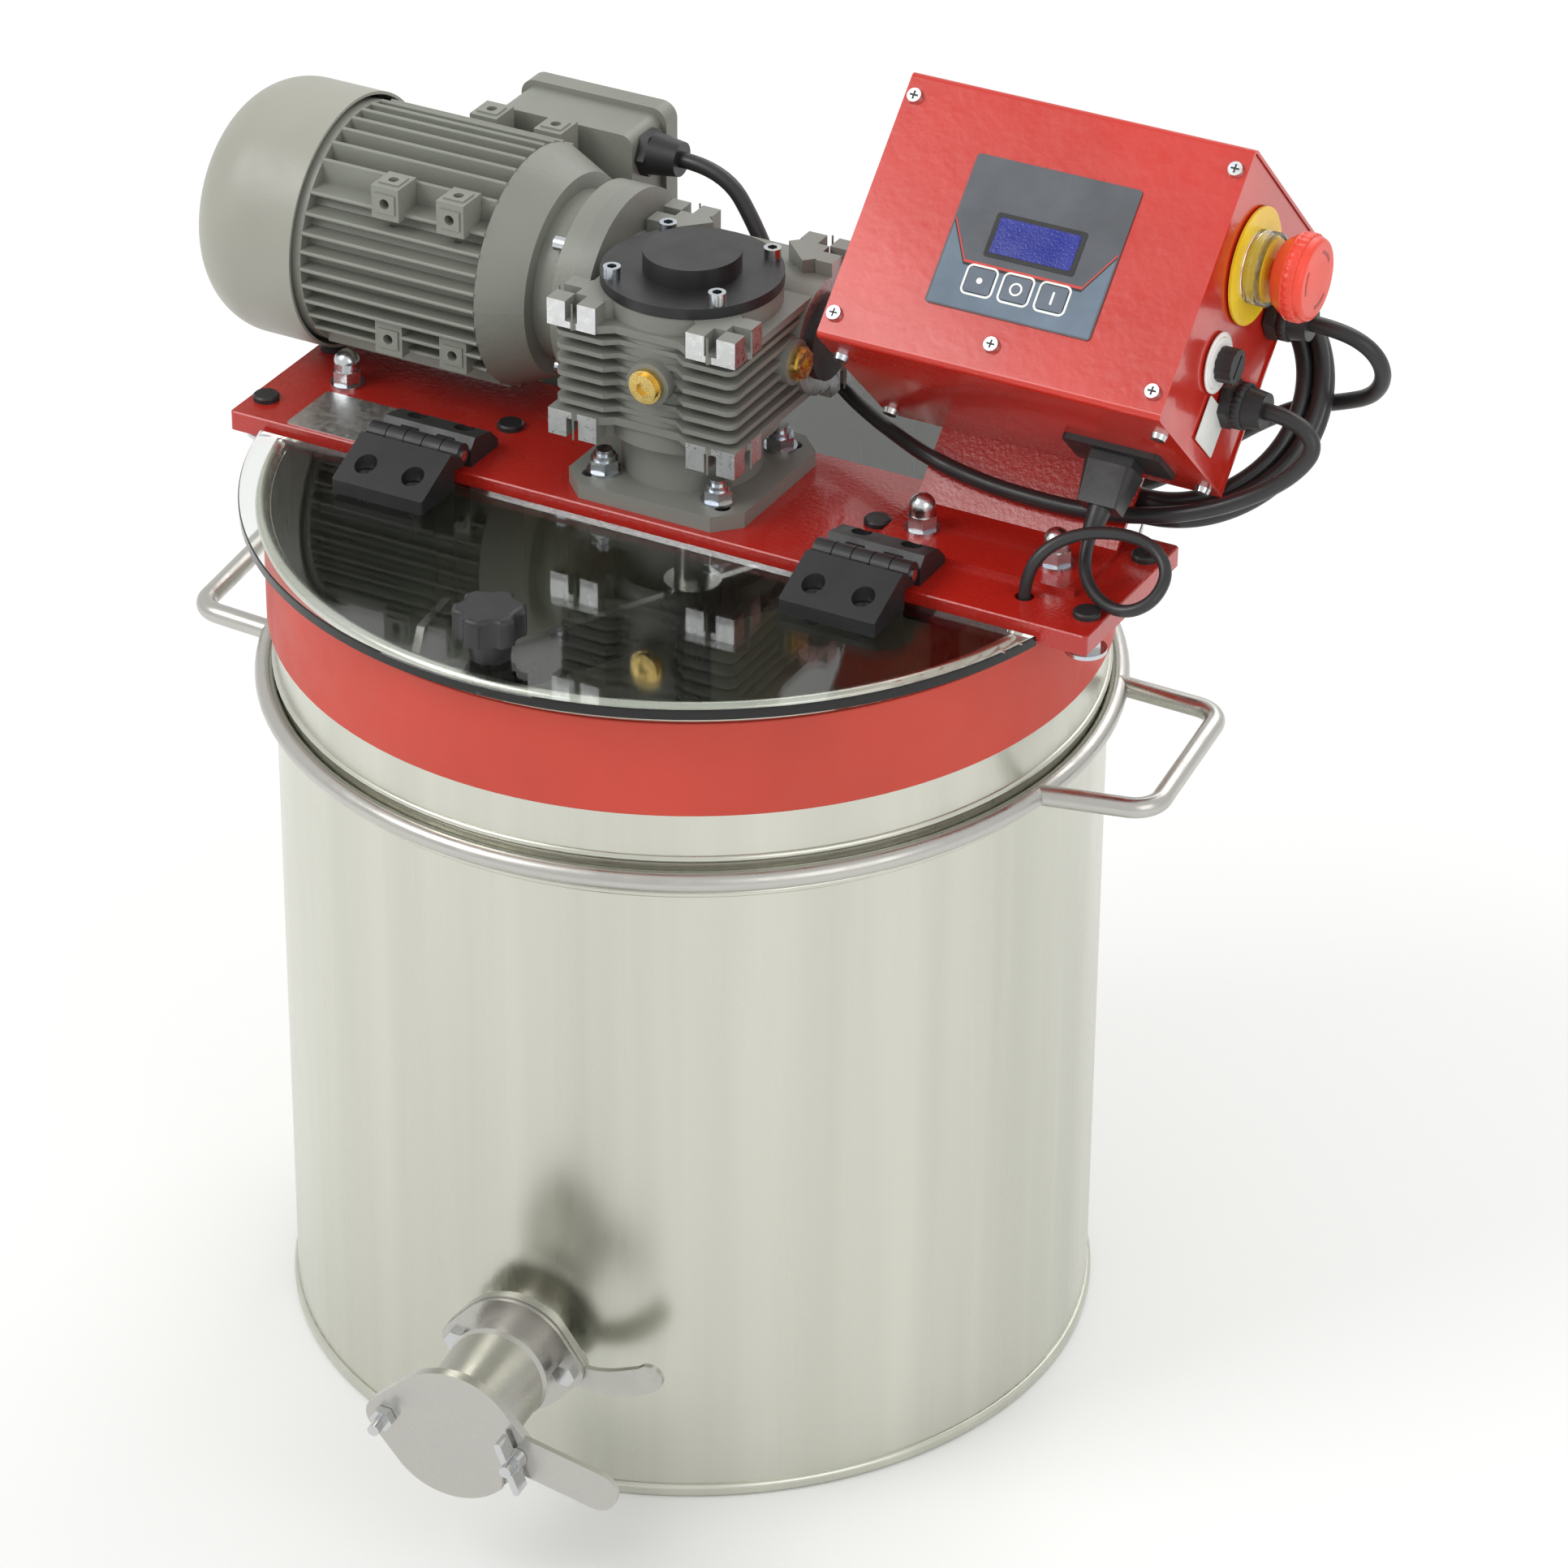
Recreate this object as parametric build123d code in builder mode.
from build123d import *
from math import cos, pi, radians, sin, sqrt, tan
import os

os.makedirs("parts", exist_ok=True)

# ---------------------------------------------------------------- driving sizes, millimetres
TANK_R = 202.0            # outer radius of the tank wall
WALL = 1.0                # stainless sheet
RIM_TOP = 445.0           # top of the rolled rim
FLOOR_Z = 58.0            # top of the raised tank floor
TANK_TURN = 6.0           # the tank stands turned by this much under the bridge plate
PLATE_L, PLATE_W, PLATE_T = 462.0, 100.0, 10.0
PLATE_X, PLATE_Y = 3.0, -2.0
PLATE_TOP = RIM_TOP + PLATE_T
AXIS_Z = PLATE_TOP + 68.0  # height of the worm and of the wheel's middle plane
WORM_Y = 40.0             # centre distance of the worm gear
CORD_R = 4.0              # motor cable and mains cord
LEAD_R = 3.0              # lid switch lead


def save(builder, name):
    """Labels a finished piece and writes it under its node name."""
    builder.part.label = name
    export_step(builder.part, f"parts/{name}.step")


def turned(distance, angle, height=0.0):
    """A point at a distance and angle round the tank axis, the angle counted from +X."""
    return (distance * cos(radians(angle)), distance * sin(radians(angle)), height)


# ---------------------------------------------------------------- tank
RIM_R = 3.5
RIM_CENTRE_R = TANK_R + 3.0
BAND_LOW, BAND_HIGH, BAND_T = 387.5, 436.5, 3.0
HOOP_Z, HOOP_ROD = 354.0, 5.0
HOOP_R = TANK_R + HOOP_ROD
BEAD_R = 2.0
BEAD_HEIGHTS = (HOOP_Z - 9.5, HOOP_Z + 9.0)
SKIRT_LOW = 20.0
SEAM_H = 7.0

GATE_ANGLE = -90.0 + TANK_TURN
GATE_Z = 86.0
GATE_ROLL = 4.0           # the gate is welded on a little out of level
STUB_R, STUB_BORE = 21.0, 19.5
gate_side = Vector(*turned(1, GATE_ANGLE + 90))
gate_out = Vector(*turned(1, GATE_ANGLE))
gate_right = gate_side * cos(radians(GATE_ROLL)) - Vector(0, 0, 1) * sin(radians(GATE_ROLL))
gate_plane = Plane(origin=(0, 0, GATE_Z), x_dir=gate_right, z_dir=gate_out)

TAB_X, TAB_W, TAB_REACH = 193.0, 24.0, 22.0   # hole place, width and length of the bridge tabs

with BuildPart() as tank_shell:
    with BuildSketch(Plane.XY.offset(1)):
        Circle(TANK_R)
        Circle(TANK_R - WALL, mode=Mode.SUBTRACT)
    extrude(amount=RIM_TOP - RIM_R - 1)
    with BuildSketch(Plane.XZ) as rim_section:
        with Locations((RIM_CENTRE_R, RIM_TOP - RIM_R)):
            Circle(RIM_R)
        with Locations(*((TANK_R - 0.5, z) for z in BEAD_HEIGHTS)):
            Circle(BEAD_R)
    revolve(axis=Axis.Z)
    Cylinder(TANK_R - WALL, RIM_TOP, align=(Align.CENTER, Align.CENTER, Align.MIN), mode=Mode.SUBTRACT)
    with BuildSketch(Plane.XY.offset(RIM_TOP - 3)):
        with Locations(*((side * (TANK_R + 1.5 - TAB_REACH / 2), 0) for side in (-1, 1))):
            Rectangle(TAB_REACH, TAB_W)
    extrude(amount=3)
    with Locations(*((side * TAB_X, 0, RIM_TOP) for side in (-1, 1))):
        Cylinder(4.5, 10, mode=Mode.SUBTRACT)
    with BuildSketch(gate_plane):
        Circle(STUB_BORE)
    extrude(amount=TANK_R + 10, mode=Mode.SUBTRACT)
save(tank_shell, "tank_shell")

with BuildPart() as tank_floor:
    with BuildSketch(Plane.XZ):
        with BuildLine():
            Polyline(
                (10, FLOOR_Z - 1.5), (TANK_R - WALL - 8, FLOOR_Z - 1.5), (TANK_R - WALL - 1.5, FLOOR_Z - 8),
                (TANK_R - WALL - 1.5, SKIRT_LOW), (TANK_R - WALL, SKIRT_LOW), (TANK_R - WALL, FLOOR_Z - 7.4),
                (TANK_R - WALL - 7.4, FLOOR_Z), (10, FLOOR_Z), close=True)
        make_face()
        # Foot ring: rounded outside, square inside, with a flat to stand on and a slot for the wall.
        with Locations((TANK_R - 0.5, SEAM_H / 2)):
            RectangleRounded(5, SEAM_H, 2.4)
        with Locations((TANK_R - 1.3, SEAM_H / 2)):
            Rectangle(3.4, SEAM_H)
        with Locations((TANK_R - WALL / 2, 1 + SEAM_H / 2)):
            Rectangle(WALL, SEAM_H, mode=Mode.SUBTRACT)
    revolve(axis=Axis.Z)
save(tank_floor, "tank_floor_and_foot_ring")

with BuildPart() as red_band:
    with BuildSketch(Plane.XZ):
        with Locations((TANK_R + BAND_T / 2, (BAND_LOW + BAND_HIGH) / 2)):
            RectangleRounded(BAND_T, BAND_HIGH - BAND_LOW, 0.8)
    revolve(axis=Axis.Z)
save(red_band, "red_band")

HANDLE_SPREAD, HANDLE_RAIL, HANDLE_BEND = 56.0, 49.0, 14.0
HANDLE_SIDES = ((0, 53.0), (180, 42.0))       # turn about the tank and reach past the hoop

with BuildPart() as carrying_hoop:
    with BuildSketch(Plane.XZ):
        with Locations((HOOP_R, HOOP_Z)):
            Circle(HOOP_ROD)
    revolve(axis=Axis.Z)
    for end, reach in HANDLE_SIDES:
        handle_plane = Plane(
            origin=(0, 0, HOOP_Z), x_dir=turned(1, TANK_TURN + end), z_dir=(0, 0, 1))
        root_x = sqrt(HOOP_R**2 - HANDLE_SPREAD**2)
        with BuildLine(handle_plane) as handle_path:
            FilletPolyline(
                (root_x, -HANDLE_SPREAD), (HOOP_R + reach - 6, -HANDLE_RAIL),
                (HOOP_R + reach - 6, HANDLE_RAIL), (root_x, HANDLE_SPREAD), radius=HANDLE_BEND)
        with BuildSketch(Plane(origin=handle_path.line @ 0, z_dir=handle_path.line % 0)):
            Circle(HOOP_ROD)
        sweep()
    Cylinder(
        TANK_R, RIM_TOP, align=(Align.CENTER, Align.CENTER, Align.MIN), mode=Mode.SUBTRACT)
save(carrying_hoop, "carrying_hoop")

# ---------------------------------------------------------------- honey gate
GATE_T, BLADE_T, GATE_GAP = 2.5, 3.0, 0.2
REAR_FACE = 222.0         # outer face of the rear pair of flanges
FRONT_FACE = 292.0        # outer face of the front blade
REAR_PITCH, FRONT_PITCH = 28.5, 34.0
REAR_DISC, FRONT_DISC = 31.0, 35.0
REAR_EAR, FRONT_EAR = 8.5, 10.0
FRONT_PIPE_R = 24.5
WELD_AT = 240.0
BOLT_R = 3.0
REAR_BLADE_AT = REAR_FACE - GATE_T - BLADE_T - GATE_GAP
FRONT_BLADE_AT = FRONT_FACE - BLADE_T


def flange_outline(disc, pitch, ear):
    """Fills the open sketch with a round disc drawn out to a bolt ear on each side."""
    Circle(disc)
    with Locations((-pitch, 0), (pitch, 0)):
        Circle(ear)
    make_hull()


def bolt_holes(pitch):
    """Cuts the two bolt holes of a gate flange from the open sketch."""
    with Locations((-pitch, 0), (pitch, 0)):
        Circle(BOLT_R + 0.2, mode=Mode.SUBTRACT)


STUB_FLANGE_AT = REAR_BLADE_AT - GATE_T - GATE_GAP

with BuildPart() as outlet_stub:
    with BuildSketch(gate_plane.offset(TANK_R - 8)):
        Circle(STUB_R)
    extrude(amount=STUB_FLANGE_AT - TANK_R + 8)
    Cylinder(TANK_R, RIM_TOP, align=(Align.CENTER, Align.CENTER, Align.MIN), mode=Mode.SUBTRACT)
    with BuildSketch(gate_plane.offset(STUB_FLANGE_AT)):
        flange_outline(REAR_DISC, REAR_PITCH, REAR_EAR)
        bolt_holes(REAR_PITCH)
    extrude(amount=GATE_T)
    with BuildSketch(gate_plane.offset(TANK_R - 20)):
        Circle(STUB_BORE)
    extrude(amount=40, mode=Mode.SUBTRACT)
save(outlet_stub, "outlet_stub")

with BuildPart() as gate_spool:
    with BuildSketch(gate_plane.offset(REAR_FACE - GATE_T)):
        flange_outline(REAR_DISC, REAR_PITCH, REAR_EAR)
        bolt_holes(REAR_PITCH)
    extrude(amount=GATE_T)
    with BuildSketch(gate_plane.offset(REAR_FACE)):
        Circle(STUB_R)
    extrude(amount=WELD_AT - REAR_FACE)
    with BuildSketch(gate_plane.offset(WELD_AT)):
        Circle(FRONT_PIPE_R)
    extrude(amount=FRONT_BLADE_AT - GATE_GAP - WELD_AT)
    with BuildSketch(gate_plane.offset(WELD_AT - 2)):
        Circle(FRONT_PIPE_R + 1)
    extrude(amount=4, taper=20)
    with BuildSketch(gate_plane.offset(FRONT_BLADE_AT - GATE_GAP - GATE_T)):
        flange_outline(FRONT_DISC - 0.5, FRONT_PITCH, FRONT_EAR)
        bolt_holes(FRONT_PITCH)
    extrude(amount=GATE_T)
    with BuildSketch(gate_plane.offset(REAR_FACE - GATE_T)):
        Circle(STUB_BORE)
    extrude(amount=FRONT_FACE - REAR_FACE, mode=Mode.SUBTRACT)
    with BuildSketch(gate_plane.offset(WELD_AT + 1)):
        Circle(FRONT_PIPE_R - 1.5)
    extrude(amount=FRONT_FACE - WELD_AT, mode=Mode.SUBTRACT)
save(gate_spool, "gate_spool")

SLOT_R = BOLT_R + 0.5
SLOT_LEAN = 3.0           # the slot is wider toward the pivot, as the bolt leaves it along an arc


def blade_slot(pitch, ear):
    """Cuts the pivot hole, and the slot that lets the other bolt out when the blade swings up."""
    with Locations((-pitch, 0)):
        Circle(BOLT_R + 0.2, mode=Mode.SUBTRACT)
    with Locations((pitch + SLOT_R, 0)):
        Rectangle(2 * SLOT_R + SLOT_LEAN, 2 * ear, align=(Align.MAX, Align.MAX), mode=Mode.SUBTRACT)
    with Locations((pitch, 0)):
        Circle(SLOT_R, mode=Mode.SUBTRACT)


with BuildPart() as rear_gate:
    with BuildSketch(gate_plane.offset(REAR_BLADE_AT)):
        flange_outline(REAR_DISC + 1, REAR_PITCH, REAR_EAR)
        with BuildLine():
            Spline((REAR_PITCH - 4, 7), (REAR_PITCH + 14, 4), (REAR_PITCH + 28, 9), (REAR_PITCH + 40, 15))
            Line((REAR_PITCH + 40, 15), (REAR_PITCH + 44, 2))
            Spline((REAR_PITCH + 44, 2), (REAR_PITCH + 30, -6), (REAR_PITCH + 14, -9), (REAR_PITCH - 4, -6))
            Line((REAR_PITCH - 4, -6), (REAR_PITCH - 4, 7))
        make_face()
        with Locations((REAR_PITCH + 41, 8.5)):
            Circle(7)
        blade_slot(REAR_PITCH, REAR_EAR + 4)
    extrude(amount=BLADE_T)
save(rear_gate, "rear_gate")

HANDLE_END = 78.0

with BuildPart() as front_gate:
    with BuildSketch(gate_plane.offset(FRONT_BLADE_AT)):
        flange_outline(FRONT_DISC, FRONT_PITCH, FRONT_EAR)
        with Locations(Location((FRONT_PITCH + 22, -2), -10)):
            SlotOverall(HANDLE_END - FRONT_PITCH + 16, 21)
        blade_slot(FRONT_PITCH, FRONT_EAR + 8)
    extrude(amount=BLADE_T)
save(front_gate, "front_gate")

NUT_H, NUT_R = 5.0, 5.8

with BuildPart() as gate_bolts:
    with BuildSketch(gate_plane.offset(STUB_FLANGE_AT - 7)):
        with Locations((-REAR_PITCH, 0), (REAR_PITCH, 0)):
            Circle(BOLT_R)
    extrude(amount=REAR_FACE - STUB_FLANGE_AT + 7)
    with BuildSketch(gate_plane.offset(REAR_FACE)):
        with Locations((-REAR_PITCH, 0), (REAR_PITCH, 0)):
            RegularPolygon(NUT_R, 6)
    extrude(amount=4)
    with BuildSketch(gate_plane.offset(STUB_FLANGE_AT - NUT_H)):
        with Locations((-REAR_PITCH, 0), (REAR_PITCH, 0)):
            RegularPolygon(NUT_R, 6)
    extrude(amount=NUT_H)
    with BuildSketch(gate_plane.offset(FRONT_BLADE_AT - GATE_T - GATE_GAP - 4)):
        with Locations((-FRONT_PITCH, 0), (FRONT_PITCH, 0)):
            RegularPolygon(NUT_R, 6)
    extrude(amount=4)
    with BuildSketch(gate_plane.offset(FRONT_BLADE_AT - GATE_T - GATE_GAP)):
        with Locations((-FRONT_PITCH, 0), (FRONT_PITCH, 0)):
            Circle(BOLT_R)
    extrude(amount=FRONT_FACE - FRONT_BLADE_AT + 16)
    with BuildSketch(gate_plane.offset(FRONT_FACE + GATE_GAP)):
        with Locations((-FRONT_PITCH, 0)):
            RegularPolygon(NUT_R, 6)
    extrude(amount=NUT_H)
save(gate_bolts, "gate_bolts")

WING_SPAN, WING_TILT = 13.0, 20.0

with BuildPart() as wing_nut:
    with BuildSketch(gate_plane.offset(FRONT_FACE + GATE_GAP)):
        with Locations((FRONT_PITCH, 0)):
            Circle(5.5)
    extrude(amount=6, taper=6)
    for side in (-1, 1):
        with BuildSketch(gate_plane.offset(FRONT_FACE + GATE_GAP + 2)):
            with Locations(Location((FRONT_PITCH, 0), 115)):
                with Locations((side * WING_SPAN / 2 + side * 2, 0)):
                    SlotOverall(WING_SPAN - 1, 3.5)
        extrude(amount=9)
    with BuildSketch(gate_plane.offset(FRONT_FACE)):
        with Locations((FRONT_PITCH, 0)):
            Circle(BOLT_R + 0.05)
    extrude(amount=15, mode=Mode.SUBTRACT)
save(wing_nut, "wing_nut")

# ---------------------------------------------------------------- bridge plate and its fixings
PLUG_X, PLUG_Y, PLUG_R, PLUG_H = 222.0, 31.0, 6.5, 3.0
PLUG_PLACES = [(PLATE_X + sx * PLUG_X, PLATE_Y + sy * PLUG_Y) for sx in (-1, 1) for sy in (-1, 1)]
SPARE_PLACES = [(-100.0, -1.0), (100.0, -1.0)]
TANK_BOLT_PLACES = [(-TAB_X, 0.0), (TAB_X, 0.0)]
BRACKET_BOLT = (123.0, 0.0)
LEAD_HOLE = (192.0, -31.0)
FLANGE_PITCH = 30.76
FLANGE_PLACES = [(sx * FLANGE_PITCH, sy * FLANGE_PITCH) for sx in (-1, 1) for sy in (-1, 1)]
M8 = 4.0

with BuildPart() as bridge_plate:
    with BuildSketch(Plane.XY.offset(RIM_TOP)):
        with Locations((PLATE_X, PLATE_Y)):
            RectangleRounded(PLATE_L, PLATE_W, 2)
        with Locations(*PLUG_PLACES, *SPARE_PLACES, *TANK_BOLT_PLACES, BRACKET_BOLT, *FLANGE_PLACES):
            Circle(M8 + 0.25, mode=Mode.SUBTRACT)
        with Locations(LEAD_HOLE):
            Circle(LEAD_R + 1.5, mode=Mode.SUBTRACT)
        Circle(30.1, mode=Mode.SUBTRACT)
    extrude(amount=PLATE_T)
    chamfer(bridge_plate.faces().sort_by(Axis.Z)[-1].outer_wire().edges(), 0.6)
save(bridge_plate, "bridge_plate")

with BuildPart() as hole_plugs:
    with Locations(*((x, y, PLATE_TOP) for x, y in PLUG_PLACES + SPARE_PLACES)):
        Cylinder(PLUG_R, PLUG_H, align=(Align.CENTER, Align.CENTER, Align.MIN))
    chamfer(hole_plugs.faces().group_by(Axis.Z)[-1].edges(), 0.8)
    with Locations(*((x, y, PLATE_TOP) for x, y in PLUG_PLACES + SPARE_PLACES)):
        Cylinder(M8, 2, align=(Align.CENTER, Align.CENTER, Align.MAX))
save(hole_plugs, "hole_plugs")

BRACKET_T = 2.5
HEX_M8, HEX_H = 7.5, 5.5
WASHER_R, WASHER_T = 8.5, 1.5
ACORN_PLACES = [(*TANK_BOLT_PLACES[0], PLATE_TOP), (*TANK_BOLT_PLACES[1], PLATE_TOP + BRACKET_T),
                (*BRACKET_BOLT, PLATE_TOP + BRACKET_T)]
GEAR_FLANGE_T = 8.0

with BuildPart() as plate_bolts:
    for x, y, top in ACORN_PLACES:
        low = RIM_TOP - (3 if abs(x) == TAB_X else 0)
        with Locations((x, y, low)):
            Cylinder(M8, top + 12 - low, align=(Align.CENTER, Align.CENTER, Align.MIN))
        with BuildSketch(Plane.XY.offset(low - HEX_H)):
            with Locations((x, y)):
                RegularPolygon(HEX_M8, 6)
        extrude(amount=HEX_H)
    with Locations(*((x, y, RIM_TOP - 10) for x, y in PLUG_PLACES)):
        Cylinder(M8, PLATE_T + 7, align=(Align.CENTER, Align.CENTER, Align.MIN))
    with Locations(*((x, y, RIM_TOP) for x, y in FLANGE_PLACES)):
        Cylinder(M8, PLATE_T + GEAR_FLANGE_T + 12, align=(Align.CENTER, Align.CENTER, Align.MIN))
    with BuildSketch(Plane.XY.offset(RIM_TOP - HEX_H)):
        with Locations(*FLANGE_PLACES):
            RegularPolygon(HEX_M8, 6)
    extrude(amount=HEX_H)
save(plate_bolts, "plate_bolts")

with BuildPart() as plate_nuts:
    for x, y, top in ACORN_PLACES:
        with Locations((x, y, top)):
            Cylinder(WASHER_R, WASHER_T, align=(Align.CENTER, Align.CENTER, Align.MIN))
        with BuildSketch(Plane.XY.offset(top + WASHER_T)):
            with Locations((x, y)):
                RegularPolygon(HEX_M8, 6)
        extrude(amount=7)
        with Locations((x, y, top + WASHER_T)):
            Cylinder(6.3, 11, align=(Align.CENTER, Align.CENTER, Align.MIN))
        with Locations((x, y, top + WASHER_T + 11)):
            Sphere(6.3)
        with Locations((x, y, top)):
            Cylinder(M8, 12, align=(Align.CENTER, Align.CENTER, Align.MIN), mode=Mode.SUBTRACT)
    for x, y in PLUG_PLACES:
        with BuildSketch(Plane.XY.offset(RIM_TOP - 6.5)):
            with Locations((x, y)):
                RegularPolygon(HEX_M8, 6)
        extrude(amount=6.5)
        with Locations((x, y, RIM_TOP - 6.5)):
            Cylinder(10, 2, align=(Align.CENTER, Align.CENTER, Align.MAX))
        with Locations((x, y, RIM_TOP)):
            Cylinder(M8, 10, align=(Align.CENTER, Align.CENTER, Align.MAX), mode=Mode.SUBTRACT)
    for x, y in FLANGE_PLACES:
        top = PLATE_TOP + GEAR_FLANGE_T
        with Locations((x, y, top)):
            Cylinder(WASHER_R, WASHER_T, align=(Align.CENTER, Align.CENTER, Align.MIN))
        with BuildSketch(Plane.XY.offset(top + WASHER_T)):
            with Locations((x, y)):
                RegularPolygon(HEX_M8, 6)
        extrude(amount=5.5)
        with Locations((x, y, top + WASHER_T + 5.5)):
            Cylinder(5.6, 2.5, align=(Align.CENTER, Align.CENTER, Align.MIN))
        with Locations((x, y, top)):
            Cylinder(M8, 12, align=(Align.CENTER, Align.CENTER, Align.MIN), mode=Mode.SUBTRACT)
save(plate_nuts, "plate_nuts")

# ---------------------------------------------------------------- lids and hinges
LID_R, LID_T = 216.5, 5.0
LID_LOW = RIM_TOP + 0.2
LID_TOP = LID_LOW + LID_T
FRONT_EDGE = PLATE_Y - PLATE_W / 2 - 2.0
REAR_EDGE = PLATE_Y + PLATE_W / 2 + 2.0
HINGE_X, HINGE_W = 120.5, 50.0
PIN_Y, PIN_Z, PIN_R = FRONT_EDGE + 0.5, PLATE_TOP + 10.0, 2.5
LEAF_FRONT = FRONT_EDGE - 38.0
SCREW_R = 2.5
LEAF_SCREW_Y = PIN_Y - 26.0
BASE_SCREW_Y = PIN_Y + 22.0
SCREW_DX = 13.0
KNOB_Y = -190.0
leaf_screw_places = [(side * HINGE_X + dx, LEAF_SCREW_Y) for side in (-1, 1) for dx in (-SCREW_DX, SCREW_DX)]
base_screw_places = [(side * HINGE_X + dx, BASE_SCREW_Y) for side in (-1, 1) for dx in (-SCREW_DX, SCREW_DX)]

with BuildPart() as front_lid:
    with BuildSketch(Plane.XY.offset(LID_LOW)):
        Circle(LID_R)
        with Locations((0, FRONT_EDGE)):
            Rectangle(3 * LID_R, 3 * LID_R, align=(Align.CENTER, Align.MIN), mode=Mode.SUBTRACT)
        with Locations(*leaf_screw_places, (0, KNOB_Y)):
            Circle(SCREW_R + 0.2, mode=Mode.SUBTRACT)
    extrude(amount=LID_T)
    chamfer(front_lid.faces().sort_by(Axis.Z)[-1].outer_wire().edges(), 0.6)
save(front_lid, "front_lid")

with BuildPart() as rear_lid:
    with BuildSketch(Plane.XY.offset(RIM_TOP)):
        Circle(LID_R)
        with Locations((0, REAR_EDGE)):
            Rectangle(3 * LID_R, 3 * LID_R, align=(Align.CENTER, Align.MAX), mode=Mode.SUBTRACT)
    extrude(amount=LID_T)
    chamfer(rear_lid.faces().sort_by(Axis.Z)[-1].outer_wire().edges(), 0.6)
save(rear_lid, "rear_lid")

KNUCKLES = 5
KNUCKLE_R = 6.0
KNUCKLE_W = HINGE_W / KNUCKLES
RUN = 0.25                # side clearance between the knuckles


def knuckle_spans(first):
    """The start and width of every other knuckle of both hinges."""
    for side in (-1, 1):
        for i in range(first, KNUCKLES, 2):
            start = side * HINGE_X - HINGE_W / 2 + i * KNUCKLE_W
            low = start + (RUN if i > 0 else 0)
            high = start + KNUCKLE_W - (RUN if i < KNUCKLES - 1 else 0)
            yield low, high - low


def knuckle_plane(x):
    return Plane(origin=(x, PIN_Y, PIN_Z), x_dir=(0, 1, 0), z_dir=(1, 0, 0))


with BuildPart() as hinge_bases:
    for side in (-1, 1):
        with BuildSketch(knuckle_plane(side * HINGE_X - HINGE_W / 2)):
            with BuildLine():
                Polyline((7.5, -10), (7.5, -1), (12, 4), (26, 1), (33, -6), (33, -10), close=True)
            make_face()
        extrude(amount=HINGE_W)
    for low, width in knuckle_spans(1):
        with BuildSketch(knuckle_plane(low)):
            Circle(KNUCKLE_R)
            with Locations((6, -2)):
                Rectangle(12, 8)
        extrude(amount=width)
    with Locations(*((x, y, PLATE_TOP + 4) for x, y in base_screw_places)):
        Cylinder(SCREW_R + 0.2, 30, mode=Mode.SUBTRACT)
        Cylinder(5.0, 20, align=(Align.CENTER, Align.CENTER, Align.MIN), mode=Mode.SUBTRACT)
    with Locations((0, PIN_Y, PIN_Z)):
        Cylinder(PIN_R + 0.05, 400, rotation=(0, 90, 0), mode=Mode.SUBTRACT)
save(hinge_bases, "hinge_bases")

with BuildPart() as hinge_leaves:
    for side in (-1, 1):
        with BuildSketch(knuckle_plane(side * HINGE_X - HINGE_W / 2)):
            with BuildLine():
                low = LID_TOP - PIN_Z
                Polyline((-7, low), (-7, 1), (-10, 5), (-38, low + 7), (-38, low), close=True)
            make_face()
        extrude(amount=HINGE_W)
    fillet(hinge_leaves.edges().filter_by(Axis.Z), 1.2)
    for low, width in knuckle_spans(0):
        with BuildSketch(knuckle_plane(low)):
            Circle(KNUCKLE_R)
            with Locations((-5, -1)):
                Rectangle(10, 8)
        extrude(amount=width)
    with Locations(*((x, y, LID_TOP + 4) for x, y in leaf_screw_places)):
        Cylinder(SCREW_R + 0.2, 30, mode=Mode.SUBTRACT)
        Cylinder(5.5, 20, align=(Align.CENTER, Align.CENTER, Align.MIN), mode=Mode.SUBTRACT)
    with Locations((0, PIN_Y, PIN_Z)):
        Cylinder(PIN_R + 0.05, 400, rotation=(0, 90, 0), mode=Mode.SUBTRACT)
save(hinge_leaves, "hinge_leaves")

with BuildPart() as hinge_fixings:
    for side in (-1, 1):
        with Locations((side * HINGE_X, PIN_Y, PIN_Z)):
            Cylinder(PIN_R, HINGE_W + 2, rotation=(0, 90, 0))
    with Locations(*((x, y, PLATE_TOP + 4) for x, y in base_screw_places)):
        Cylinder(4.5, 3, align=(Align.CENTER, Align.CENTER, Align.MIN))
        Cylinder(SCREW_R, 4, align=(Align.CENTER, Align.CENTER, Align.MAX))
save(hinge_fixings, "hinge_fixings")

with BuildPart() as lid_screws:
    with Locations(*((x, y, LID_TOP + 4) for x, y in leaf_screw_places)):
        Cylinder(4.8, 3, align=(Align.CENTER, Align.CENTER, Align.MIN))
        Cylinder(SCREW_R, LID_T + 10, align=(Align.CENTER, Align.CENTER, Align.MAX))
    with BuildSketch(Plane.XY.offset(LID_LOW - 4)):
        with Locations(*leaf_screw_places):
            RegularPolygon(4.6, 6)
    extrude(amount=4)
    with Locations((0, KNOB_Y, LID_LOW)):
        Cylinder(5, 2.5, align=(Align.CENTER, Align.CENTER, Align.MAX))
        Cylinder(SCREW_R, 20, align=(Align.CENTER, Align.CENTER, Align.MIN))
save(lid_screws, "lid_screws")

KNOB_H, KNOB_R, KNOB_LOBES = 26.0, 17.0, 6

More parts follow.
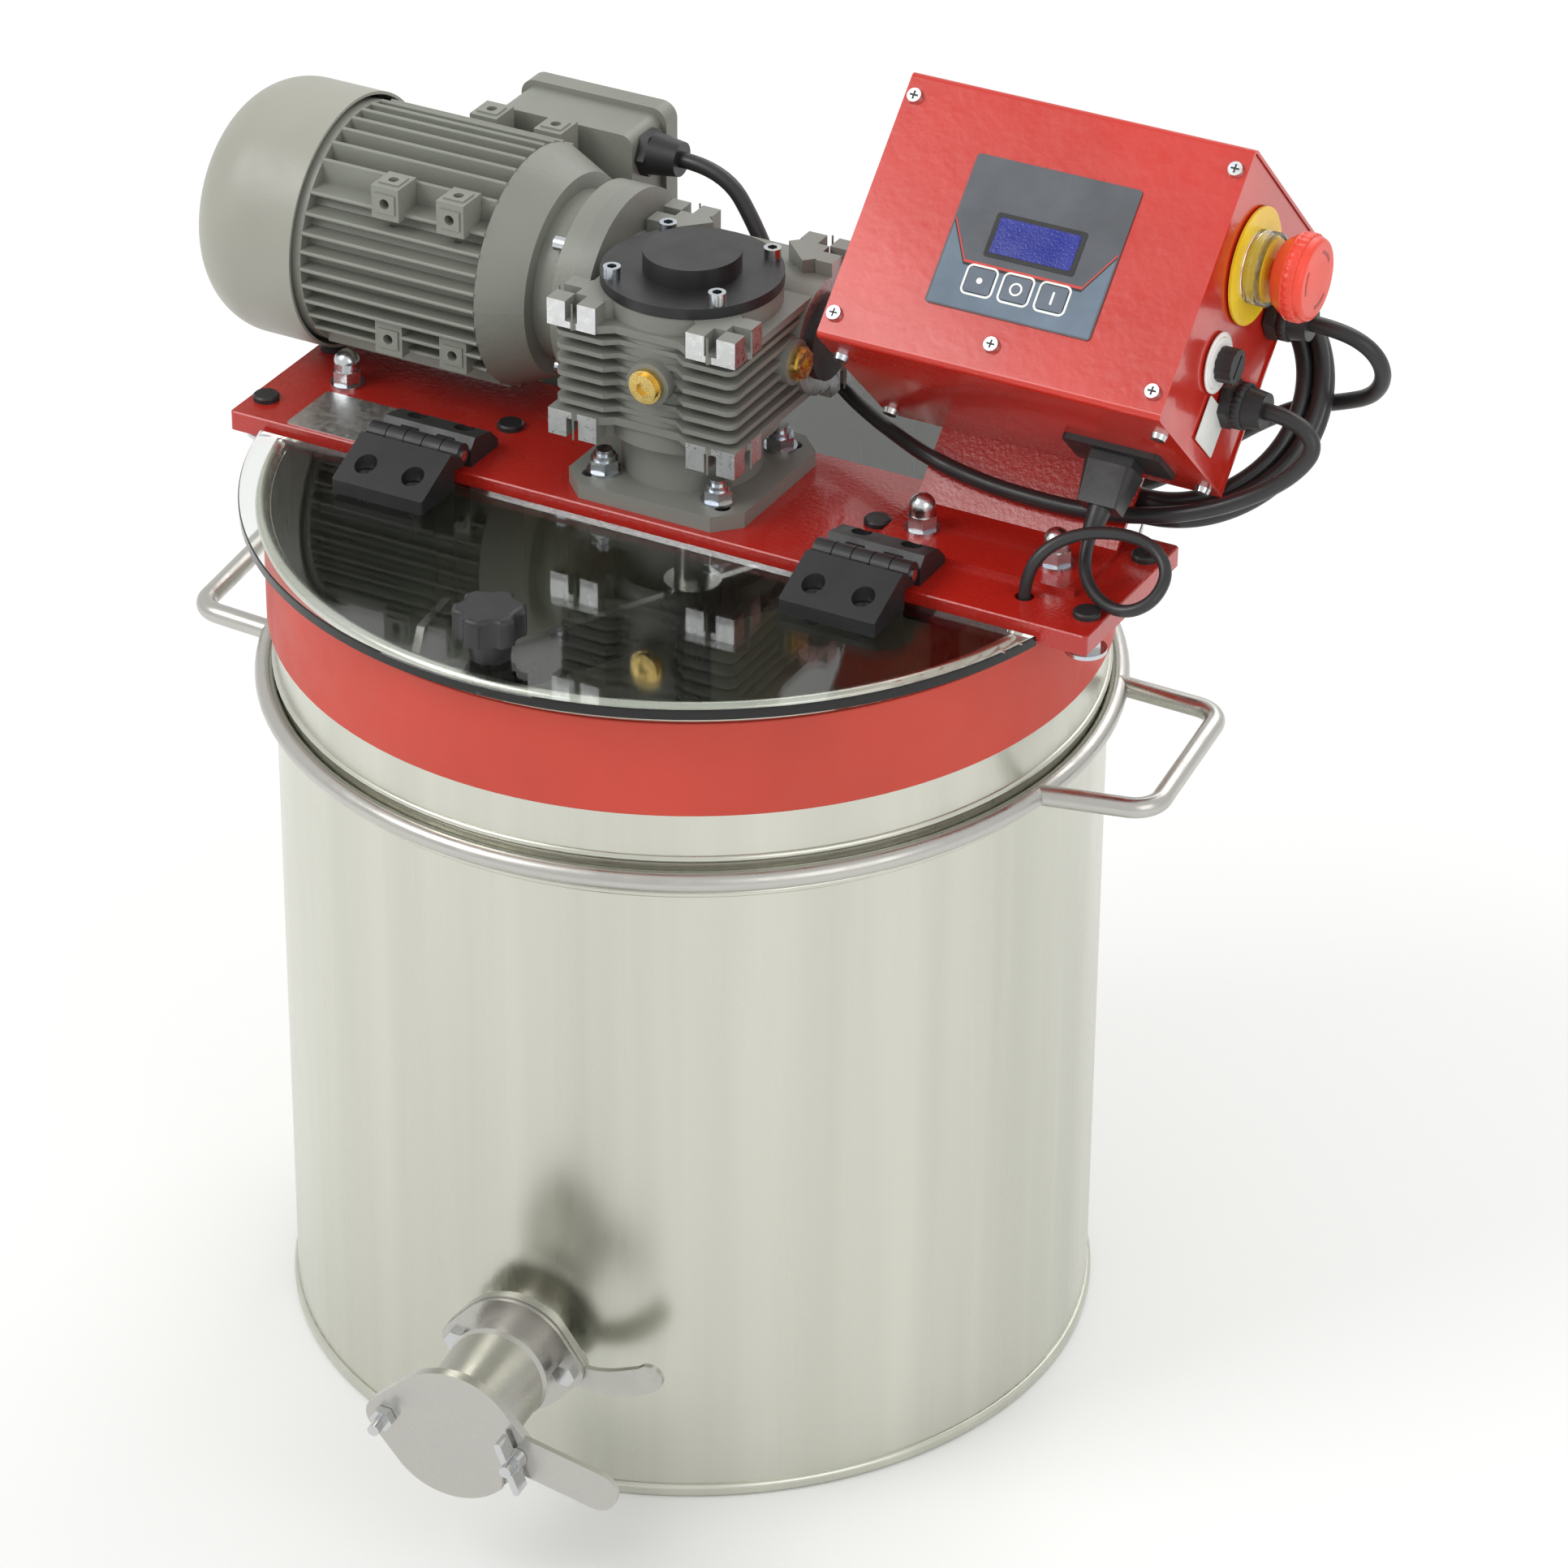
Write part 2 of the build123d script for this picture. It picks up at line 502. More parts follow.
with BuildPart() as lid_knob:
    with BuildSketch(Plane.XY.offset(LID_TOP)):
        with Locations((0, KNOB_Y)):
            Circle(9.5)
    extrude(amount=14, taper=-6)
    with BuildSketch(Plane.XY.offset(LID_TOP + 12)):
        with Locations((0, KNOB_Y)):
            Circle(KNOB_R)
            with PolarLocations(KNOB_R + 5.5, KNOB_LOBES):
                Circle(8, mode=Mode.SUBTRACT)
    extrude(amount=KNOB_H - 12)
    fillet(lid_knob.faces().sort_by(Axis.Z)[-1].edges(), 3)
    with Locations((0, KNOB_Y, LID_TOP)):
        Cylinder(SCREW_R, 16, align=(Align.CENTER, Align.CENTER, Align.MIN), mode=Mode.SUBTRACT)
save(lid_knob, "lid_knob")

# ---------------------------------------------------------------- worm gearbox
MODULE, TEETH = 2.0, 30
LEAD = pi * MODULE
LEAD_TILT = 5.71          # lead angle of the worm thread, degrees
FLANK = 0.364             # tangent of the 20 degree flank angle
WORM_PITCH_R, WORM_CREST_R, WORM_ROOT_R = 10.0, 12.0, 7.6
WHEEL_PITCH_R, WHEEL_TIP_R, WHEEL_ROOT_R = 30.0, 32.0, 27.2
WHEEL_FACE = 6.0
WORM_TURNS = 7
HUB_R, SHAFT_R = 15.0, 9.0
CASE_R, CASE_HALF = 43.0, 35.5
FRONT_Y, REAR_Y, SIDE_X = -50.0, 71.5, 50.0
LUG, LUG_T, LUG_H = 26.0, 9.0, 13.5
FOOT_SLOT, SLOT_DEEP, RAIL_T = 6.5, 10.0, 4.0
TUBE_R = 29.0
INPUT_X, INPUT_T, INPUT_R = -53.0, 9.0, 50.0
FIT = 0.05                # running clearance of shafts in their bearings
gear_plane = Plane(origin=(0, 0, AXIS_Z))
worm_plane = Plane(origin=(0, WORM_Y, AXIS_Z), x_dir=(0, -1, 0), z_dir=(1, 0, 0))
FLANGE_SIDE = 95.0
OUTPUT_BEARING = (HUB_R + FIT, 25.0, 9.0)
WORM_BEARING = (8.5 + FIT, 17.5, 10.0)
MOTOR_BEARING = (7.5 + FIT, 17.5, 10.0)
WORM_BEARING_X = (-46.0, 36.0)
MOTOR_BEARING_X = (-84.0, -212.0)
COVER_TOP = 41.0
cover_screw_places = [(sx * 28.0, sy * 27.0) for sx in (-1, 1) for sy in (-1, 1)]

with BuildPart() as gearbox_housing:
    with BuildSketch(gear_plane.offset(-CASE_HALF)):
        Circle(CASE_R)
    extrude(amount=2 * CASE_HALF)
    with BuildSketch(worm_plane.offset(INPUT_X)):
        Circle(TUBE_R)
    extrude(amount=SIDE_X - INPUT_X)
    for low in (-CASE_HALF, CASE_HALF - LUG_H):
        with BuildSketch(gear_plane.offset(low)):
            for sx in (-1, 1):
                for y, inward in ((FRONT_Y, 1), (REAR_Y, -1)):
                    with Locations((sx * (SIDE_X - LUG / 2), y + inward * LUG_T / 2)):
                        Rectangle(LUG, LUG_T)
                    with Locations((sx * (SIDE_X - LUG_T / 2), y + inward * LUG / 2)):
                        Rectangle(LUG_T, LUG)
                    with Locations((sx * (SIDE_X - LUG / 2 - 1), y + inward * (LUG / 2 + 1))):
                        Rectangle(LUG - 4, LUG - 4, rotation=45)
        extrude(amount=LUG_H)
    for side in (-1, 1):
        for sx in (-1, 1):
            for y, inward in ((FRONT_Y, 1), (REAR_Y, -1)):
                height = side * (CASE_HALF - SLOT_DEEP / 2 + 1)
                with BuildSketch(gear_plane.offset(height - SLOT_DEEP / 2 - 1)):
                    with Locations((sx * (SIDE_X - LUG / 2), y + inward * LUG_T / 2)):
                        Rectangle(FOOT_SLOT, LUG_T + 2)
                    with Locations((sx * (SIDE_X - LUG_T / 2), y + inward * LUG / 2)):
                        Rectangle(LUG_T + 2, FOOT_SLOT)
                extrude(amount=SLOT_DEEP + 2, mode=Mode.SUBTRACT)
    for height in (-17.5, -10.5, -3.5, 3.5, 10.5, 17.5):
        with BuildSketch(gear_plane.offset(height - 1.25)):
            with Locations((0, (FRONT_Y + REAR_Y) / 2)):
                RectangleRounded(2 * SIDE_X - 4, REAR_Y - FRONT_Y - 4, 5)
            Polygon((-24, FRONT_Y), (-15, FRONT_Y + 7), (15, FRONT_Y + 7), (24, FRONT_Y),
                    align=None, mode=Mode.SUBTRACT)
        extrude(amount=2.5)
    for low in (CASE_HALF - LUG_H, LUG_H - CASE_HALF - RAIL_T):
        with BuildSketch(gear_plane.offset(low)):
            with Locations((0, (FRONT_Y + REAR_Y) / 2)):
                RectangleRounded(2 * SIDE_X - 2, REAR_Y - FRONT_Y - 2, 5)
            Polygon((-26, FRONT_Y), (-17, FRONT_Y + 6), (17, FRONT_Y + 6), (26, FRONT_Y),
                    align=None, mode=Mode.SUBTRACT)
        extrude(amount=RAIL_T)
    with BuildSketch(worm_plane.offset(INPUT_X - INPUT_T)):
        Circle(INPUT_R)
    extrude(amount=INPUT_T)
    with Locations((3, FRONT_Y + 6, AXIS_Z + 2)):
        Cylinder(11, 9, rotation=(90, 0, 0))
    with Locations((SIDE_X - 4, 9, AXIS_Z)):
        Cylinder(11, 10, rotation=(0, 90, 0))
    with BuildSketch(gear_plane.offset(-WHEEL_FACE - 5)):
        Circle(WHEEL_TIP_R + 2)
    extrude(amount=100, mode=Mode.SUBTRACT)
    with BuildSketch(gear_plane.offset(-33)):
        Circle(OUTPUT_BEARING[1])
    extrude(amount=60, mode=Mode.SUBTRACT)
    with BuildSketch(gear_plane.offset(-60)):
        Circle(HUB_R + 1)
    extrude(amount=60, mode=Mode.SUBTRACT)
    with BuildSketch(worm_plane.offset(-36)):
        Circle(WORM_CREST_R + 2)
    extrude(amount=72, mode=Mode.SUBTRACT)
    for start in (INPUT_X - INPUT_T, 36):
        with BuildSketch(worm_plane.offset(start)):
            Circle(WORM_BEARING[1])
        extrude(amount=26, mode=Mode.SUBTRACT)
save(gearbox_housing, "gearbox_housing")

FLANGE_CORNER = 12.0
FLANGE_HUB_R = 34.0

with BuildPart() as output_flange:
    with BuildSketch(Plane.XY.offset(PLATE_TOP)):
        half = FLANGE_SIDE / 2
        cut = half - FLANGE_CORNER
        Polygon(
            (-half, -cut), (-cut, -half), (cut, -half), (half, -cut),
            (half, cut), (cut, half), (-cut, half), (-half, cut), align=None)
        for i in range(4):
            with Locations(Location(turned(FLANGE_PITCH * sqrt(2) + 3, 45 + 90 * i), 45 + 90 * i)):
                SlotOverall(16, 2 * M8 + 0.5, mode=Mode.SUBTRACT)
    extrude(amount=GEAR_FLANGE_T)
    with BuildSketch(Plane.XY.offset(PLATE_TOP)):
        Circle(FLANGE_HUB_R)
    extrude(amount=AXIS_Z - CASE_HALF - PLATE_TOP)
    with BuildSketch(Plane.XY.offset(PLATE_TOP - 3)):
        Circle(30)
    extrude(amount=3)
    with BuildSketch(Plane.XY.offset(PLATE_TOP - 3)):
        Circle(HUB_R + 1)
    extrude(amount=60, mode=Mode.SUBTRACT)
save(output_flange, "output_flange")

with BuildPart() as gearbox_covers:
    with BuildSketch(gear_plane.offset(CASE_HALF)):
        Circle(CASE_R + 0.5)
    extrude(amount=COVER_TOP - CASE_HALF)
    with BuildSketch(gear_plane.offset(COVER_TOP)):
        Circle(23.5)
    extrude(amount=10)
    with BuildSketch(gear_plane.offset(22)):
        Circle(WHEEL_TIP_R + 1.95)
    extrude(amount=CASE_HALF - 22)
    with BuildSketch(gear_plane.offset(22)):
        Circle(OUTPUT_BEARING[1])
    extrude(amount=12, mode=Mode.SUBTRACT)
    with BuildSketch(gear_plane.offset(34)):
        Circle(18)
    extrude(amount=3, mode=Mode.SUBTRACT)
    with BuildSketch(gear_plane.offset(CASE_HALF)):
        with Locations(*cover_screw_places):
            Circle(2.6)
    extrude(amount=10, mode=Mode.SUBTRACT)
    with BuildSketch(worm_plane.offset(46.5)):
        Circle(WORM_BEARING[1] - 0.05)
    extrude(amount=SIDE_X + 2 - 46.5)
    with BuildSketch(worm_plane.offset(SIDE_X)):
        Circle(21)
    extrude(amount=4)
save(gearbox_covers, "gearbox_covers")

with BuildPart() as ball_bearings:
    for low in (-33, 24):
        with BuildSketch(gear_plane.offset(low)):
            Circle(OUTPUT_BEARING[1])
            Circle(OUTPUT_BEARING[0], mode=Mode.SUBTRACT)
        extrude(amount=OUTPUT_BEARING[2])
    for start in WORM_BEARING_X:
        with BuildSketch(worm_plane.offset(start)):
            Circle(WORM_BEARING[1])
            Circle(WORM_BEARING[0], mode=Mode.SUBTRACT)
        extrude(amount=WORM_BEARING[2])
    for start in MOTOR_BEARING_X:
        with BuildSketch(worm_plane.offset(start)):
            Circle(MOTOR_BEARING[1])
            Circle(MOTOR_BEARING[0], mode=Mode.SUBTRACT)
        extrude(amount=MOTOR_BEARING[2])
save(ball_bearings, "ball_bearings")


def flank_half(base, above):
    """Half thickness of a tooth or thread at a height above its pitch circle."""
    return base - above * FLANK


with BuildPart() as worm_wheel:
    with BuildSketch(gear_plane.offset(-WHEEL_FACE)):
        Circle(WHEEL_ROOT_R)
    extrude(amount=2 * WHEEL_FACE)
    with BuildSketch(gear_plane.offset(-33)):
        Circle(HUB_R)
    extrude(amount=66)
    for i in range(TEETH):
        radial = Vector(*turned(1, 90 + i * 360 / TEETH))
        across = Vector(0, 0, 1).rotate(Axis((0, 0, 0), tuple(radial)), -LEAD_TILT)
        with BuildSketch(Plane(origin=(0, 0, AXIS_Z), x_dir=radial, z_dir=across)):
            root_above, tip_above = WHEEL_ROOT_R - 0.6 - WHEEL_PITCH_R, WHEEL_TIP_R - WHEEL_PITCH_R
            root_half, tip_half = flank_half(1.25, root_above), flank_half(1.25, tip_above)
            Polygon(
                (WHEEL_ROOT_R - 0.6, -root_half), (WHEEL_TIP_R, -tip_half),
                (WHEEL_TIP_R, tip_half), (WHEEL_ROOT_R - 0.6, root_half), align=None)
        extrude(amount=WHEEL_FACE - 0.5, both=True)
    with BuildSketch(gear_plane.offset(-33)):
        Circle(SHAFT_R)
    extrude(amount=66, mode=Mode.SUBTRACT)
save(worm_wheel, "worm_wheel")

start = worm_plane.offset(-WORM_TURNS * LEAD / 2)

with BuildPart() as worm_shaft:
    thread_line = start.location * Edge.make_helix(LEAD, WORM_TURNS * LEAD, WORM_PITCH_R)
    with BuildSketch(Plane(origin=start.origin, x_dir=start.x_dir, z_dir=-start.y_dir)):
        low, high = WORM_ROOT_R - 0.4, WORM_CREST_R
        low_half, high_half = flank_half(1.3, low - WORM_PITCH_R), flank_half(1.3, high - WORM_PITCH_R)
        Polygon((low, -low_half), (high, -high_half), (high, high_half), (low, low_half), align=None)
    sweep(path=thread_line, is_frenet=True)
    with BuildSketch(worm_plane.offset(-36)):
        Circle(WORM_ROOT_R)
    extrude(amount=72)
    for first, length in ((-50, 14), (36, 10)):
        with BuildSketch(worm_plane.offset(first)):
            Circle(8.5)
        extrude(amount=length)
    with BuildSketch(worm_plane.offset(-50)):
        Circle(5.5)
    extrude(amount=22, mode=Mode.SUBTRACT)
save(worm_shaft, "worm_shaft")

# ---------------------------------------------------------------- stirrer
STIRRER_LOW = FLOOR_Z + 5.0
BUSH_R, BUSH_H, PIVOT_R = 14.0, 24.0, 6.0
BLADE_ANGLE = 62.0
ARM_HEIGHTS = (97.0, 378.0)
ARM_REACH = 168.0
STIR_T = 4.0

with BuildPart() as floor_bush:
    with Locations((0, 0, FLOOR_Z - 6)):
        Cylinder(9.9, 6, align=(Align.CENTER, Align.CENTER, Align.MIN))
    with Locations((0, 0, FLOOR_Z)):
        Cylinder(BUSH_R, BUSH_H - 6, align=(Align.CENTER, Align.CENTER, Align.MIN))
    with Locations((0, 0, FLOOR_Z + 2)):
        Cylinder(PIVOT_R + FIT, 50, align=(Align.CENTER, Align.CENTER, Align.MIN), mode=Mode.SUBTRACT)
save(floor_bush, "floor_bush")

with BuildPart() as stirrer_shaft:
    with Locations((0, 0, FLOOR_Z + 2.3)):
        Cylinder(PIVOT_R, 30, align=(Align.CENTER, Align.CENTER, Align.MIN))
    with Locations((0, 0, FLOOR_Z + BUSH_H - 5)):
        Cylinder(SHAFT_R, AXIS_Z + 33 - FLOOR_Z - BUSH_H + 5, align=(Align.CENTER, Align.CENTER, Align.MIN))
save(stirrer_shaft, "stirrer_shaft")

with BuildPart() as stirrer_frame:
    for height in ARM_HEIGHTS:
        with Locations((0, 0, height)):
            Cylinder(SHAFT_R + 5, 34)
            with Locations(Location((0, 0, 0), (0, 0, BLADE_ANGLE))):
                Box(2 * ARM_REACH, STIR_T, 26)
    for side in (0, 180):
        face = Plane(
            origin=turned(ARM_REACH - 20, BLADE_ANGLE + side, ARM_HEIGHTS[0] - 20),
            x_dir=turned(1, BLADE_ANGLE + side + 35), z_dir=turned(1, BLADE_ANGLE + side - 55))
        with BuildSketch(face.offset(-STIR_T / 2)):
            height = ARM_HEIGHTS[1] - ARM_HEIGHTS[0] + 60
            Polygon((-22, 0), (22, 0), (22, height - 22), (8, height), (-22, height), align=None)
        extrude(amount=STIR_T)
        with BuildSketch(face.offset(-STIR_T / 2 - 5)):
            with Locations((0, ARM_HEIGHTS[1] - ARM_HEIGHTS[0] + 20)):
                Circle(7)
        extrude(amount=STIR_T + 10)
    Cylinder(SHAFT_R, 1000, mode=Mode.SUBTRACT)
save(stirrer_frame, "stirrer_frame")

# ---------------------------------------------------------------- gearmotor
FRAME_START, FRAME_END = -205.0, -108.0
BELL_END = INPUT_X - INPUT_T
CORE_R, CORE_BORE, FIN_R, FIN_T, FIN_STEP = 52.0, 47.0, 61.0, 2.2, 9.0
COWL_R, COWL_START, COWL_END, COWL_WALL = 64.0, -209.0, -275.0, 1.5
DOME_R = 32.0
INNER_DOME_R = DOME_R - COWL_WALL
PAD_STARTS = (-167.0, -131.0)
PAD_W, PAD, PAD_HOLE = 15.0, 17.0, 2.6
PAD_CENTRES = [(-46.0, 43.0), (-46.0, -29.0), (46.0, 43.0), (46.0, -29.0)]
TERMINAL_Y = 100.0
TERMINAL_BOX = (-165.0, -89.0, 476.0, 570.0)

with BuildPart() as motor_frame:
    with BuildSketch(worm_plane.offset(FRAME_START)):
        Circle(CORE_R)
        for i in range(-4, 5):
            across = i * FIN_STEP
            reach = 2 * sqrt(FIN_R**2 - across**2)
            with Locations((across, 0)):
                SlotOverall(reach, FIN_T, rotation=90)
            with Locations((0, across)):
                SlotOverall(reach, FIN_T)
        Circle(CORE_BORE, mode=Mode.SUBTRACT)
    extrude(amount=FRAME_END - FRAME_START)
    for start in PAD_STARTS:
        for across, up in PAD_CENTRES:
            with Locations((start + PAD_W / 2, WORM_Y + across, AXIS_Z + up)):
                Box(PAD_W, PAD, PAD)
                Box(PAD_W - 4, PAD + 1.5, 10)
                Box(PAD_W - 4, 10, PAD + 1.5)
                Cylinder(PAD_HOLE, 2 * PAD, rotation=(90, 0, 0), mode=Mode.SUBTRACT)
                Cylinder(PAD_HOLE, 2 * PAD, mode=Mode.SUBTRACT)
    with Locations((-157, TERMINAL_Y, AXIS_Z)):
        Box(120, 20, 140, align=(Align.CENTER, Align.MIN, Align.CENTER), mode=Mode.SUBTRACT)
    with BuildSketch(worm_plane.offset(FRAME_START)):
        Circle(CORE_BORE)
    extrude(amount=FRAME_END - FRAME_START, mode=Mode.SUBTRACT)
save(motor_frame, "motor_frame")

with BuildPart() as motor_end_shields:
    with BuildSketch(worm_plane.offset(FRAME_END)):
        Circle(CORE_R + 8)
    extrude(amount=22, taper=24)
    with BuildSketch(worm_plane.offset(BELL_END - 10)):
        Circle(INPUT_R)
    extrude(amount=10)
    with BuildSketch(worm_plane.offset(FRAME_END)):
        Circle(42)
    extrude(amount=BELL_END - FRAME_END)
    with BuildSketch(worm_plane.offset(FRAME_START)):
        Circle(CORE_R + 8)
    extrude(amount=-8)
    with BuildSketch(worm_plane.offset(FRAME_START)):
        Circle(24)
    extrude(amount=6)
    with BuildSketch(worm_plane.offset(FRAME_END)):
        Circle(36)
    extrude(amount=20, mode=Mode.SUBTRACT)
    with BuildSketch(worm_plane.offset(MOTOR_BEARING_X[0])):
        Circle(MOTOR_BEARING[1])
    extrude(amount=40, mode=Mode.SUBTRACT)
    with BuildSketch(worm_plane.offset(MOTOR_BEARING_X[1])):
        Circle(MOTOR_BEARING[1])
    extrude(amount=10, mode=Mode.SUBTRACT)
    with BuildSketch(worm_plane.offset(-220)):
        Circle(10)
    extrude(amount=180, mode=Mode.SUBTRACT)
save(motor_end_shields, "motor_end_shields")

with BuildPart() as stator:
    with BuildSketch(worm_plane.offset(-190)):
        Circle(CORE_BORE)
        Circle(30.5, mode=Mode.SUBTRACT)
        with PolarLocations(37, 24):
            SlotOverall(9, 3, mode=Mode.SUBTRACT)
    extrude(amount=70)
save(stator, "stator")

with BuildPart() as rotor:
    with BuildSketch(worm_plane.offset(-190)):
        Circle(30)
    extrude(amount=70)
    with BuildSketch(worm_plane.offset(-250)):
        Circle(5.5)
    extrude(amount=222)
    with BuildSketch(worm_plane.offset(-208)):
        Circle(7.5)
    extrude(amount=136)
save(rotor, "rotor")

with BuildPart() as cooling_fan:
    with BuildSketch(worm_plane.offset(-250)):
        Circle(14)
    extrude(amount=24)
    with BuildSketch(worm_plane.offset(-228)):
        Circle(52)
    extrude(amount=2)
    with BuildSketch(worm_plane.offset(-246)):
        with PolarLocations(32, 8):
            Rectangle(38, 2.5)
    extrude(amount=19)
    with BuildSketch(worm_plane.offset(-251)):
        Circle(5.5)
    extrude(amount=40, mode=Mode.SUBTRACT)
save(cooling_fan, "cooling_fan")

with BuildPart() as fan_cowl:
    with BuildSketch(Plane.XY):
        with BuildLine():
            Polyline((COWL_START, 0), (COWL_START, COWL_R), (COWL_END + DOME_R, COWL_R))
            RadiusArc((COWL_END + DOME_R, COWL_R), (COWL_END, COWL_R - DOME_R), -DOME_R)
            Polyline((COWL_END, COWL_R - DOME_R), (COWL_END, 0), (COWL_START, 0))
        make_face()
    cowl_axis = Axis((0, 0, 0), (1, 0, 0))
    revolve(axis=cowl_axis)
    inner = COWL_R - COWL_WALL
    with BuildSketch(Plane.XY):
        with BuildLine():
            Polyline((COWL_START, 0), (COWL_START, inner), (COWL_END + DOME_R, inner))
            RadiusArc((COWL_END + DOME_R, inner), (COWL_END + COWL_WALL, inner - INNER_DOME_R), -INNER_DOME_R)
            Polyline((COWL_END + COWL_WALL, inner - INNER_DOME_R), (COWL_END + COWL_WALL, 0), (COWL_START, 0))
        make_face()
    revolve(axis=cowl_axis, mode=Mode.SUBTRACT)
    with BuildSketch(Plane.YZ.offset(COWL_END - 1)):
        for radius in (12, 20, 28):
            with PolarLocations(radius, 10):
                SlotOverall(6.5, 3.2)
    extrude(amount=4, mode=Mode.SUBTRACT)
    fan_cowl.part.position = (0, WORM_Y, AXIS_Z)
save(fan_cowl, "fan_cowl")

GLAND_HEX, GLAND_CAP = 12.0, 10.8
terminal_plane = Plane(
    origin=((TERMINAL_BOX[0] + TERMINAL_BOX[1]) / 2, TERMINAL_Y, (TERMINAL_BOX[2] + TERMINAL_BOX[3]) / 2),
    x_dir=(-1, 0, 0), z_dir=(0, 1, 0))
terminal_w = TERMINAL_BOX[1] - TERMINAL_BOX[0]
terminal_h = TERMINAL_BOX[3] - TERMINAL_BOX[2]
TERMINAL_GLAND = (TERMINAL_BOX[1], TERMINAL_Y + 14, 557.0)

with BuildPart() as terminal_box:
    with BuildSketch(terminal_plane):
        RectangleRounded(terminal_w, terminal_h, 6)
    extrude(amount=29)
    with BuildSketch(terminal_plane.offset(3)):
        RectangleRounded(terminal_w - 6, terminal_h - 6, 4)
    extrude(amount=30, mode=Mode.SUBTRACT)
    with BuildSketch(terminal_plane.offset(29)):
        RectangleRounded(terminal_w + 6, terminal_h + 6, 8)
    extrude(amount=11)
    with Locations(TERMINAL_GLAND):
        Cylinder(8, 20, rotation=(0, 90, 0), mode=Mode.SUBTRACT)
save(terminal_box, "terminal_box")


def gland(plane, bore):
    """A cable gland on a face: hexagon nut, tapered cap and a tail through the wall."""
    with BuildSketch(plane) as nut:
        RegularPolygon(GLAND_HEX, 6)
    extrude(nut.sketch, amount=5)
    with BuildSketch(plane.offset(5)) as cap:
        Circle(GLAND_CAP)
    extrude(cap.sketch, amount=15, taper=8)
    with BuildSketch(plane.offset(-8)) as tail:
        Circle(7.9)
    extrude(tail.sketch, amount=8)
    with BuildSketch(plane.offset(-8)) as hole:
        Circle(bore)
    extrude(hole.sketch, amount=40, mode=Mode.SUBTRACT)


# ---------------------------------------------------------------- control box
BOX_W, BOX_H, BOX_D = 175.0, 135.0, 105.0
SHEET = 1.5
Q = sqrt(0.5)             # the box leans back by 45 degrees
box_plane = Plane(origin=(77.5, -23, 558), x_dir=(1, 0, 0), z_dir=(0, -Q, Q))
side_plane = Plane(origin=box_plane.from_local_coords((BOX_W, 0, 0)), x_dir=(0, Q, Q), z_dir=(1, 0, 0))
under_plane = Plane(origin=box_plane.origin, x_dir=(1, 0, 0), z_dir=(0, -Q, -Q))
PANEL_X, PANEL_Y, PANEL_W, PANEL_H = 88.0, 65.5, 84.0, 75.0
KEY_Y = 43.3
KEY_XS = (68.8, 87.4, 105.9)
KEY_W, KEY_H = 13.0, 12.0
ESTOP_AT, FUSE_AT = (94.5, -45.0), (45.0, -43.0)
UPPER_GLAND, LOWER_GLAND = (87.0, -88.0), (35.7, -70.7)
INLET_AT, INLET_W, INLET_H = (133.0, -72.0), 50.0, 28.0
FACE_SCREWS = [(5.6, 122.6), (169.3, 122.6), (167.9, 12.0), (5.6, 12.0), (85.4, 15.3)]
UNDER_SCREWS = [(5.0, -24.0), (5.0, -97.0), (168.0, -24.0), (168.0, -97.0)]

with BuildPart() as control_bracket:
    with BuildSketch(Plane.YZ.offset(107)):
        low, high = PLATE_TOP, PLATE_TOP + BRACKET_T
        back = box_plane.origin.Y - box_plane.origin.Z + BOX_D * sqrt(2)
        gap = BRACKET_T * sqrt(2)
        Polygon((-20, low), (-20, high), (high + back, high), (140, 140 - back),
                (140 + gap / 2, 140 - back - gap / 2), (low + back + gap, low), align=None)
    extrude(amount=105)
    with BuildSketch(Plane.XY.offset(PLATE_TOP)):
        with Locations(BRACKET_BOLT, TANK_BOLT_PLACES[1]):
            Circle(M8 + 0.25)
        with Locations(LEAD_HOLE):
            Circle(11)
    extrude(amount=BRACKET_T, mode=Mode.SUBTRACT)
save(control_bracket, "control_bracket")

with BuildPart() as box_cover:
    with BuildSketch(Plane(origin=box_plane.origin, x_dir=(0, Q, Q), z_dir=(1, 0, 0))):
        with BuildLine():
            line = FilletPolyline((0, -BOX_D + 2), (0, 0), (BOX_H, 0), (BOX_H, -BOX_D + 2), radius=3)
            offset(line, amount=-SHEET, side=Side.RIGHT)
        make_face()
    extrude(amount=BOX_W)
    with BuildSketch(box_plane):
        with Locations(*((x, KEY_Y) for x in KEY_XS)):
            Rectangle(KEY_W + 0.4, KEY_H + 0.4)
        with Locations((PANEL_X + 0.8, 66.5)):
            Rectangle(50, 26)
        with Locations(*FACE_SCREWS):
            Circle(2.1)
    extrude(amount=-5, mode=Mode.SUBTRACT)
    with BuildSketch(under_plane):
        with Locations(INLET_AT):
            Rectangle(INLET_W - 6, INLET_H - 6)
        with Locations(*UNDER_SCREWS):
            Circle(2.1)
    extrude(amount=-5, mode=Mode.SUBTRACT)
save(box_cover, "box_cover")

